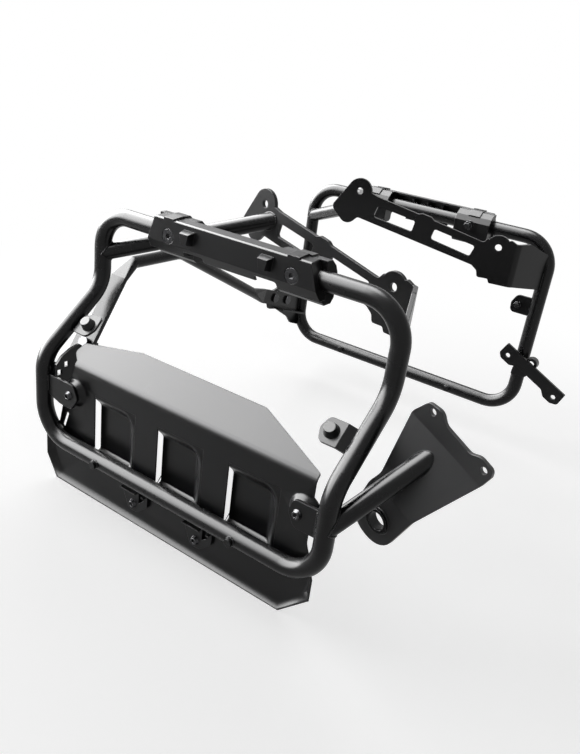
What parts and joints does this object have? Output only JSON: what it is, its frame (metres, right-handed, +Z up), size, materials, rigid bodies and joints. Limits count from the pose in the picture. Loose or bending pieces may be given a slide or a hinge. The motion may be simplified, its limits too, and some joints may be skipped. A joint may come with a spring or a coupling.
{
  "type": "pannier frame",
  "caption": "Pair of bent-tube side carriers with mounting brackets, clip rails, a heat shield, rubber studs and a cross-brace, for hard cases on a motorcycle.",
  "frame": {"origin": "centre of the right rear upper mounting hole, in the middle of its plate", "axes": "+X forward, +Y across the motorcycle to its left, +Z up, as fitted"},
  "size_m": [0.4925, 0.532, 0.3344],
  "materials": {
    "paint": "satin black powder coat",
    "plastic": "fine-grained moulded",
    "fasteners": "dark zinc-nickel plate",
    "rubber": "matt"
  },
  "bodies": {
    "root": {"hoop_right": "paint", "hoop_left": "paint", "hook_pins_right": "paint", "hook_pins_left": "paint", "upper_bracket_right": "paint", "upper_bracket_left": "paint", "brace_tube_right": "paint", "brace_tube_left": "paint", "rail_cover_right": "plastic", "rail_cover_left": "plastic", "clamp_front_right": "plastic", "clamp_rear_right": "plastic", "clamp_front_left": "plastic", "clamp_rear_left": "plastic", "clamp_screws_right": "fasteners", "clamp_screws_left": "fasteners", "clamp_washers_right": "fasteners", "clamp_washers_left": "fasteners", "clamp_nuts_right": "fasteners", "clamp_nuts_left": "fasteners", "heat_shield": "paint", "shield_tab_rear": "paint", "shield_tab_front": "paint", "shield_low_tab_rear": "paint", "shield_low_tab_front": "paint", "shield_screws": "fasteners", "shield_nuts": "fasteners", "stud_tab_rear": "paint", "stud_tab_front": "paint", "stud_tab_left": "paint", "rubber_stud_rear": "rubber", "rubber_stud_front": "rubber", "rubber_stud_left": "rubber", "stud_nuts": "fasteners", "support_tube": "paint", "foot_plate": "paint", "foot_ring": "paint", "brace_bracket_right": "paint", "brace_bracket_left": "paint", "cross_brace": "paint", "brace_bolts": "fasteners", "brace_nuts": "fasteners", "left_arm": "paint", "left_arm_lug": "paint"}
  },
  "joints": []
}
